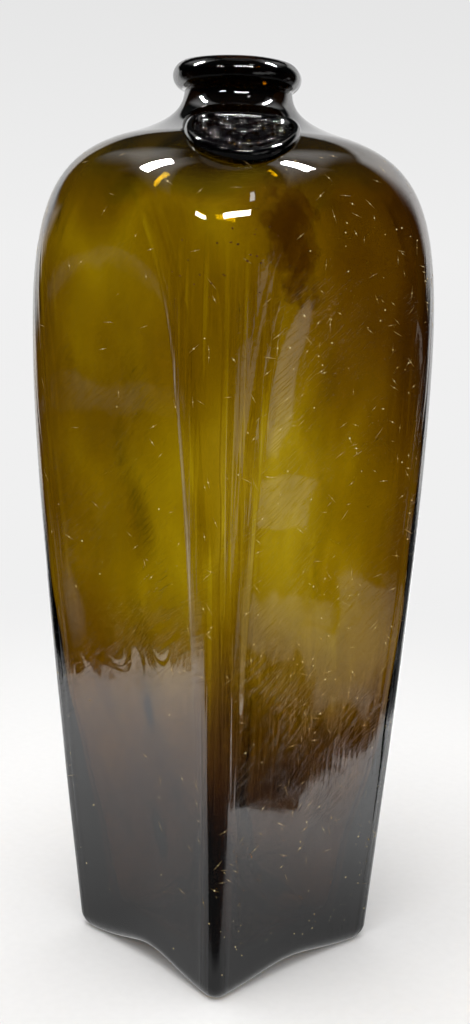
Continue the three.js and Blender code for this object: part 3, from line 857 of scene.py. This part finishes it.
# %% [markdown]
# ## Shelf wear
# More than two centuries on shelves and in soil leave light scratches and tiny chips, and the
# glass itself carries dark grains of furnace stone. They are scattered over the surface by
# Geometry Nodes, since a hand could not place hundreds of them evenly enough. A scratch is a
# hair-thin curved line laid on the glass. A speck or a grain is a flattened pebble.


# %% Materials of the wear
def plain_wear(name, light, dark, roughness, shine):
    material, add = empty_material(name)
    place = add("ShaderNodeTexCoord", {}).outputs["Object"]
    grain = add(NOISE, {"Vector": place, "Scale": 1 / (4 * MM), "Detail": 3.0, "Roughness": 0.6})
    blend = add(RAMP, {"Value": grain, **span(0.35, 0.65)})
    colour = add(MIX, {0: blend, 6: linear(light), 7: linear(dark)}, data_type="RGBA")
    rough = add(RAMP, {"Value": grain, **span(0, 1, roughness, roughness + 0.2)})
    shader = add("ShaderNodeBsdfPrincipled", {
        "Base Color": colour, "Roughness": rough, "Specular IOR Level": shine})
    add("ShaderNodeOutputMaterial", {"Surface": shader})
    return material


# Splintered glass scatters light: the eye gets pale, dusty points on the dark shoulder.
chipped = plain_wear("chipped_glass_dust", "#fff2c0", "#c8a448", 0.3, 0.5)
# A scratch is a dull groove: the eye gets fine lines a little paler than the glass.
scratched = plain_wear("scuffed_glass_scratch", "#dcc07c", "#8c6c20", 0.35, 0.5)
# Furnace stone is unmelted sand and clay: the eye gets a dull dark grain without a glint.
stony = plain_wear("furnace_stone", "#5a3408", "#2a1604", 0.8, 0.1)


# %% Strewing and laying on the glass
def strewn_on(name, sizes):
    """A tree that strews points on the outside, more of them in clumps and on the rubbed side."""
    add, given = geometry_tree(name, sizes)
    outside = add("GeometryNodeInputNamedAttribute", {"Name": "outside"}, data_type="FLOAT")
    spot = add("GeometryNodeInputPosition", {})
    height = add("ShaderNodeSeparateXYZ", {0: spot}).outputs["Z"]
    corner_way, side_way = (
        add(VECTOR_MATH, {0: spot, 1: way}, operation="DOT_PRODUCT")
        for way in (FRONT_CORNER, RIGHT_FACE))
    chosen, *others = [
        add("FunctionNodeCompare", {0: value, 1: given[limit]}, operation=comparison)
        for value, limit, comparison in (
            (height, "Lowest", "GREATER_THAN"), (height, "Highest", "LESS_THAN"),
            (corner_way, "Corner from", "GREATER_THAN"))]
    for other in (*others, outside):
        chosen = add("FunctionNodeBooleanMath", {0: chosen, 1: other}, operation="AND")
    clump = add(NOISE, {"Scale": 1 / (14 * MM)})
    uneven = add(RAMP, {"Value": clump, **span(0.42, 0.64, 0.12, 1)}, **SMOOTH)
    rubbed = add(RAMP, {"Value": side_way, **span(-20 * MM, 25 * MM, 0.25, 1.1)})
    local = add(MATH, {0: uneven, 1: rubbed}, **TIMES)
    density = add(MATH, {0: local, 1: given["Per square metre"]}, **TIMES)
    strewn = add("GeometryNodeDistributePointsOnFaces", {
        "Mesh": given["Geometry"], "Selection": chosen, "Density": density, "Seed": 5})
    return add, given, strewn.outputs


def laid(add, strewn, thing, turn, size):
    """A thing laid on each strewn point, as real geometry."""
    copies = add("GeometryNodeInstanceOnPoints", {
        "Points": strewn["Points"], "Instance": thing, "Rotation": turn, "Scale": size})
    return add("GeometryNodeRealizeInstances", {"Geometry": copies})


def by_chance(add, least, most, chance_seed, size):
    """A size times a random share."""
    chance = add("FunctionNodeRandomValue", {2: least, 3: most, "Seed": chance_seed})
    return add(MATH, {0: chance, 1: size}, **TIMES)


def pebbles(add, strewn, size, across, flat):
    """Flattened pebbles, one on each strewn point."""
    pebble = add("GeometryNodeMeshIcoSphere", {})
    flattened = add("ShaderNodeCombineXYZ", {"X": size, "Y": across, "Z": flat})
    return laid(add, strewn, pebble, strewn["Rotation"], flattened)


# %% Specks
speck_sizes = {
    "Lowest": 8 * MM, "Highest": 240 * MM, "Corner from": -1.0, "Per square metre": 40000,
    "Size": 0.17 * MM,
}
add, given, strewn = strewn_on("strewn_specks", speck_sizes)
size = by_chance(add, 0.4, 1.5, 8, given["Size"])
specks = built("glass_specks", body, pebbles(add, strewn, size, size, 0.05 * MM), chipped)
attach(specks, "root")

# %% Scratches
scratch_sizes = {
    "Lowest": 30 * MM, "Highest": 240 * MM, "Corner from": -1.0, "Per square metre": 38000,
    "Length": 4.4 * MM, "Width": 0.026 * MM,
}
add, given, strewn = strewn_on("strewn_scratches", scratch_sizes)
line = add("GeometryNodeCurvePrimitiveLine", {"Start": (-0.5, 0, 0), "End": (0.5, 0, 0)})
spin = add("FunctionNodeRandomValue", {2: -1.6, 3: 0.9, "Seed": 2})
spun = add("ShaderNodeCombineXYZ", {"Z": spin})
turned_line = add("FunctionNodeRotateRotation", {
    "Rotation": strewn["Rotation"], "Rotate By": spun}, rotation_space="LOCAL")
length = by_chance(add, 0.15, 1.0, 3, given["Length"])
straight = laid(add, strewn, line, turned_line, length)
fine = add("GeometryNodeResampleCurve", {"Curve": straight, "Count": 9})
glass_spot = add("GeometryNodeProximity", {0: given["Geometry"]}, target_element="FACES")
pressed = add("GeometryNodeSetPosition", {
    "Geometry": fine, "Position": glass_spot.outputs["Position"]})
along = add("GeometryNodeSplineParameter", {}).outputs["Factor"]
half_turn = add(MATH, {0: along, 1: math.pi}, **TIMES)
fade = add(MATH, {0: half_turn}, operation="SINE")
width = add(MATH, {0: fade, 1: given["Width"], 2: 0.01 * MM}, operation="MULTIPLY_ADD")
section = add("GeometryNodeCurvePrimitiveCircle", {"Resolution": 4})
drawn = add("GeometryNodeCurveToMesh", {
    "Curve": pressed, "Profile Curve": section, "Scale": width, "Fill Caps": True})
whole = add("GeometryNodeRealizeInstances", {"Geometry": drawn})
scratches = built("shelf_scratches", body, whole, scratched)
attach(scratches, "root")

# %% Furnace stones
stone_sizes = {
    "Lowest": 198 * MM, "Highest": 219 * MM, "Corner from": 52 * MM, "Per square metre": 200000,
    "Size": 0.26 * MM,
}
add, given, strewn = strewn_on("strewn_stones", stone_sizes)
size = by_chance(add, 0.5, 1.8, 4, given["Size"])
narrow = add("FunctionNodeRandomValue", {2: 0.1 * MM, 3: 0.35 * MM, "Seed": 9})
stones = built("furnace_stones", body, pebbles(add, strewn, size, narrow, 0.06 * MM), stony)
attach(stones, "root")

for helper in (seed, pad):
    bpy.data.objects.remove(helper)

# %% [markdown]
# ## The camera
# The picture was taken from a little above the shoulder, looking down at one edge of the
# bottle. The lens and the place were worked out from the outline, so they are numbers here.

# %% The camera at the picture's place
VIEW_AZIMUTH = math.radians(47.25)
VIEW_PITCH = math.radians(10.52)
VIEW_ROLL = math.radians(1.67)
VIEW_DISTANCE = 415.35 * MM
VIEW_HEIGHT = 213.18 * MM
FOCAL_PIXELS = 1400
PICTURE_HEIGHT = 1024
SENSOR = 36.0
up = Vector((0, 0, 1))
back = Vector((math.sin(VIEW_AZIMUTH), -math.cos(VIEW_AZIMUTH), 0))
right = Vector((math.cos(VIEW_AZIMUTH), math.sin(VIEW_AZIMUTH), 0))
forward = -back * math.cos(VIEW_PITCH) - up * math.sin(VIEW_PITCH)
above = -back * math.sin(VIEW_PITCH) + up * math.cos(VIEW_PITCH)
image_right = right * math.cos(VIEW_ROLL) + above * math.sin(VIEW_ROLL)
image_up = above * math.cos(VIEW_ROLL) - right * math.sin(VIEW_ROLL)
AIM_SHIFT = Vector((1.505, 1.794, -0.5)) * MM
SIDE_SHIFT = 0.17
camera = in_scene("camera", bpy.data.cameras.new("camera"))
camera.data.sensor_width = SENSOR
camera.data.lens = FOCAL_PIXELS * SENSOR / PICTURE_HEIGHT
camera.data.clip_start = 10 * MM
turned_view = Matrix((image_right, image_up, -forward)).transposed().to_4x4()
standpoint = AIM_SHIFT + back * VIEW_DISTANCE + up * VIEW_HEIGHT + right * SIDE_SHIFT * MM
camera.matrix_world = Matrix.Translation(standpoint) @ turned_view
bpy.context.scene.camera = camera
print("camera at", [round(v, 4) for v in standpoint])

# %% [markdown]
# ## The studio
# Glass shows the room as much as itself. The bottle stands on a pale sheet before a pale
# wall, with dim room to its sides: the sides of the glass mirror the dark, its outline mirrors
# the wall, and its foot mirrors the sheet. The sheet is endless to the eye, but in the glass
# it stops at its edges, as a real sheet would, and there the mirrored pale area ends too. What
# the glass mirrors of the sheet is painted light: it glows dim near the bottle, as a painted
# shadow, and brighter farther off and to the right, as painted pools of lamp light.

# %% The pale sheet and its edges
FLOOR_SIZE = 3.0
paper, add = empty_material("pale_paper_sheet")
place = add("ShaderNodeTexCoord", {}).outputs["Object"]
fibre = add(NOISE, {"Vector": place, "Scale": 1 / (3 * MM), "Detail": 4.0})
colour = add(MIX, {0: fibre, 6: linear("#ecebea"), 7: linear("#f2f1f0")}, data_type="RGBA")
sideways, towards = (
    add(VECTOR_MATH, {0: place, 1: tuple(axis)}, operation="DOT_PRODUCT") for axis in (right, back))
torn_left = add(NOISE, {"Vector": place, "Scale": 1 / (7 * MM), "Detail": 3.0})
hairs = streaky(add, place, (150 * MM, 1.2 * MM, 1), 1.0, (0, 0, VIEW_AZIMUTH - 0.1))
hair_reach = add(RAMP, {"Value": hairs, **span(0.36, 0.66, -0.012, 0.022)}, **SMOOTH)
with_hairs = add(MATH, {0: hair_reach, 1: sideways})
left_place = add(MATH, {0: torn_left, 1: 0.02, 2: with_hairs}, operation="MULTIPLY_ADD")
left_edge = add(RAMP, {"Value": left_place, **span(-0.242, -0.238)})
right_reach = add(RAMP, {"Value": towards, **span(0.0145, 0.0235, 0.222, 0.124)})
torn = add(NOISE, {"Vector": place, "Scale": 1 / (9 * MM), "Detail": 3.0})
frayed = add(MATH, {0: torn, 1: 0.028, 2: -0.014}, operation="MULTIPLY_ADD")
rough_reach = add(MATH, {0: right_reach, 1: frayed})
past_right = add(MATH, {0: sideways, 1: rough_reach}, operation="SUBTRACT")
right_edge = add(RAMP, {"Value": past_right, **span(-0.002, 0.002, 1, 0)})
front_edge = add(RAMP, {"Value": towards, **span(0.055, 0.065, 1, 0)})
both = add(MATH, {0: left_edge, 1: right_edge}, **TIMES)
on_sheet = add(MATH, {0: both, 1: front_edge}, **TIMES)

# %% What the sheet shows to the eye and to the glass
ray = add("ShaderNodeLightPath", {})
mirrored = add(MATH, {
    0: ray.outputs["Is Glossy Ray"], 1: ray.outputs["Is Transmission Ray"]},
    operation="SUBTRACT", use_clamp=True)
off_sheet = add(MATH, {0: 1.0, 1: on_sheet}, operation="SUBTRACT")
dark_share = add(MATH, {0: off_sheet, 1: mirrored}, **TIMES)
sheet = add("ShaderNodeBsdfDiffuse", {"Color": colour})
far = add(VECTOR_MATH, {0: place}, operation="LENGTH")
# Painted light: in the glass the sheet glows, dim near the bottle as a painted shadow and brighter
# farther off and to the right as painted pools of lamp light.
glow = add(RAMP, {"Value": far, **span(0.05, 0.22, 0.65, 1.85)})
brighter_right = add(RAMP, {"Value": sideways, **span(0.05, 0.13, 0.95, 1.5)}, **SMOOTH)
side_glow = add(MATH, {0: glow, 1: brighter_right}, **TIMES)
glow_light = add("ShaderNodeEmission", {"Strength": side_glow})
far_wall = add("ShaderNodeEmission", {"Color": linear("#f0f0f0"), "Strength": 1.0})
far_share = add(RAMP, {"Value": far, **span(0.10, 0.45)}, **SMOOTH)
to_eye = add("ShaderNodeMixShader", {0: far_share, 1: sheet, 2: far_wall})
to_glass = add("ShaderNodeMixShader", {0: mirrored, 1: to_eye, 2: glow_light})
beyond = add("ShaderNodeBsdfTransparent", {})
# Matte paper: the eye gets an even pale ground, and the glass a sheet of painted light with torn
# edges.
cut = add("ShaderNodeMixShader", {0: dark_share, 1: to_glass, 2: beyond})
add("ShaderNodeOutputMaterial", {"Surface": cut})
half = FLOOR_SIZE / 2
mesh = bpy.data.meshes.new("studio_floor")
square = [(-half, -half, 0), (half, -half, 0), (half, half, 0), (-half, half, 0)]
mesh.from_pydata(square, [], [(0, 1, 2, 3)])
mesh.materials.append(paper)
floor = in_scene("studio_floor", mesh)

# %% [markdown]
# ### The room around
# Each pale patch on the glass is a thing in the room: the wall behind, windows, open doors and
# their torn reflections. They are cards of light on the sky's sphere, each at the direction
# that the glass mirrors there. Only mirrored rays see them, so they light nothing else.

# %% The wall behind and the dim room
world = bpy.data.worlds.new("studio")
bpy.context.scene.world = world
world.use_nodes = True
world.node_tree.nodes.clear()
add = partial(add_node, world.node_tree)
way = add("ShaderNodeTexCoord", {}).outputs["Generated"]
climb = add("ShaderNodeSeparateXYZ", {0: way}).outputs["Z"]
level_way = add(VECTOR_MATH, {0: way, 1: (1, 1, 0)}, **TIMES)
level_unit = add(VECTOR_MATH, {0: level_way}, operation="NORMALIZE")
facing = add(VECTOR_MATH, {0: level_unit, 1: tuple(back)}, operation="DOT_PRODUCT")
wall = add(RAMP, {"Value": facing, **span(-0.42, -0.68, 0, 1.75)}, **SMOOTH)
straight_behind = add(RAMP, {"Value": facing, **span(-0.72, -0.94, 1, 0.55)})
even_wall = add(MATH, {0: wall, 1: straight_behind}, **TIMES)
to_side, face_by = (
    add(VECTOR_MATH, {0: way, 1: tuple(axis)}, operation="DOT_PRODUCT") for axis in (right, back))
left_top = add(RAMP, {"Value": to_side, **span(-0.82, -0.4, 0.18, 0.47)})
right_top = add(RAMP, {"Value": to_side, **span(-0.4, 0.45, 0, 0.16)})
top_edge = add(MATH, {0: left_top, 1: right_top})
over_top = add(MATH, {0: climb, 1: top_edge}, operation="SUBTRACT")
wall_top = add(RAMP, {"Value": over_top, **span(-0.03, 0.03, 1, 0)}, **SMOOTH)
mirrored_wall = add(MATH, {0: even_wall, 1: wall_top}, **TIMES)
ceiling = add(RAMP, {"Value": climb, **span(0.3, 0.75, 0.008, 0.035)})
below = add(RAMP, {"Value": climb, **span(-0.41, -0.46, 0, 0.1)}, **SMOOTH)
dim_room = add(MATH, {0: ceiling, 1: below})
mirror_room = add(MATH, {0: mirrored_wall, 1: dim_room}, operation="MAXIMUM")
seen_through = add(RAMP, {"Value": climb, **span(0.5, 0.75, 0.87, 0.12)}, **SMOOTH)
to_eye = add(RAMP, {"Value": climb, **span(0, 0.17, 0.87, 0.79)})
azimuth = add(MATH, {0: to_side, 1: face_by}, operation="ARCTAN2")
elevation = add(MATH, {0: climb}, operation="ARCSINE")
heading = add("ShaderNodeCombineXYZ", {"X": azimuth, "Y": elevation})

# %% Cards of light in the room
CARDS = (  # azimuth, elevation, half width and half height, brightness, softness, raggedness
    (56, 1, 8, 6, 0.8, 0.2, 22),
    (42, -8.5, 15, 4, 0.8, 0.15, 12),
    (34, -16, 8, 4, 0.8, 0.15, 8),
    (95.4, -10, 1.9, 3.5, 0.9, 0.08, 1),
    (94, -15.3, 1.9, 1.0, 0.65, 0.1, 1),
    (94, -20.4, 2.5, 1.1, 0.6, 0.2, 2.5),
    (91.4, -21.6, 0.9, 1.0, 0.6, 0.2, 1.5),
    (88.4, -20.2, 2.3, 1.8, 0.55, 0.1, 2),
    (89.2, -22, 1.6, 1.9, 0.6, 0.12, 1.5),
    (-100.5, -11.7, 3.6, 0.6, 0.2, 0.5, 1),
    (-114, 48, 13, 11, 1.5, 0.9, 0),
    (115, 58, 14, 11, 1.6, 0.9, 0),
    (-119, -26, 10, 10, 0.3, 0.15, 1),
    (112, -26, 10, 10, 0.3, 0.3, 2),
    (-92, 50, 9, 14, 1.6, 0.9, 0),
    (84, 58, 9, 14, 1.6, 0.9, 0),
    (-100, -5.0, 2.2, 1.1, 0.2, 0.8, 4),
    (-96.4, -20.3, 1.1, 2.8, 0.4, 0.4, 1),
    (0, 90, 180, 16, 0.25, 0.1, 0),
    (26, 44.5, 3, 3.5, 9, 0.15, 0),
)
ragged = add(NOISE, {"Vector": heading, "Scale": 22.0, "Detail": 4.0})
off_middle = add(VECTOR_MATH, {
    0: ragged.outputs["Color"], 1: (0.5, 0.5, 0.5)}, operation="SUBTRACT")
mirror_light = mirror_room
for card_azimuth, card_elevation, half_wide, half_tall, level, softness, raggedness in CARDS:
    middle_at = tuple(math.radians(v) for v in (card_azimuth, card_elevation, 0))
    half_size = tuple(math.radians(v) for v in (half_wide, half_tall)) + (1,)
    torn_by = add(VECTOR_MATH, {
        0: off_middle, 1: 2 * (math.radians(raggedness),) + (0,), 2: heading},
        operation="MULTIPLY_ADD")
    away = add(VECTOR_MATH, {0: torn_by, 1: middle_at}, operation="SUBTRACT")
    share = add(VECTOR_MATH, {0: away, 1: half_size}, operation="DIVIDE")
    size = add(VECTOR_MATH, {0: share}, operation="ABSOLUTE")
    sides = add("ShaderNodeSeparateXYZ", {0: size})
    edge = add(MATH, {0: sides.outputs["X"], 1: sides.outputs["Y"]}, operation="MAXIMUM")
    lit = add(RAMP, {"Value": edge, **span(1 - softness, 1 + softness, float(level), 0)}, **SMOOTH)
    mirror_light = add(MATH, {0: mirror_light, 1: lit}, operation="MAXIMUM")
ray = add("ShaderNodeLightPath", {})
AMBIENT = 0.9
glossy = add(MIX, {0: ray.outputs["Is Glossy Ray"], 2: AMBIENT, 3: mirror_light})
through = add(MIX, {0: ray.outputs["Is Transmission Ray"], 2: glossy, 3: seen_through})
light = add(MIX, {0: ray.outputs["Is Camera Ray"], 2: through, 3: to_eye})
surround = add("ShaderNodeBackground", {"Color": linear("#ffffff"), "Strength": light})
add("ShaderNodeOutputWorld", {"Surface": surround})

# %% [markdown]
# ### The lamps
# Four soft lamps make the sharp highlights on shoulder and neck, at the places where the
# photo has them. They don't light the paper. One large lamp overhead lights the paper only.


# %% The lamps
LAMPS_AIM = Vector((0, 0, 225 * MM))


def softbox(name, azimuth, elevation, distance, wide, tall, brightness, shines_on_paper):
    """A flat lamp. Azimuth is seen from above, right of the camera's side of the bottle."""
    data = bpy.data.lights.new(name, "AREA")
    data.shape = "RECTANGLE"
    data.size, data.size_y = wide, tall
    data.energy = math.pi * wide * tall * brightness
    lamp = in_scene(name, data)
    turn_by, rise_by = math.radians(azimuth), math.radians(elevation)
    level_out = right * math.sin(turn_by) + back * math.cos(turn_by)
    out = level_out * math.cos(rise_by) + up * math.sin(rise_by)
    lamp.location = LAMPS_AIM + out * distance
    lamp.rotation_euler = (-out).to_track_quat("-Z", "Y").to_euler()
    lamp.visible_camera = False
    lamp.visible_diffuse = shines_on_paper
    lamp.visible_glossy = not shines_on_paper
    lamp.visible_transmission = not shines_on_paper


softbox("left_softbox", -92.4, 44.6, 0.72, 0.07, 0.25, 250, False)
softbox("right_softbox", 84, 52.8, 0.72, 0.06, 0.24, 250, False)
softbox("front_lamp", 8, 32.6, 0.94, 0.44, 0.055, 60, False)
softbox("small_lamp", -33.4, 28.3, 0.94, 0.18, 0.04, 60, False)
softbox("overhead_softbox", -30, 72, 1.3, 0.8, 0.8, 4.2, True)
bpy.context.scene.view_settings.view_transform = "Standard"
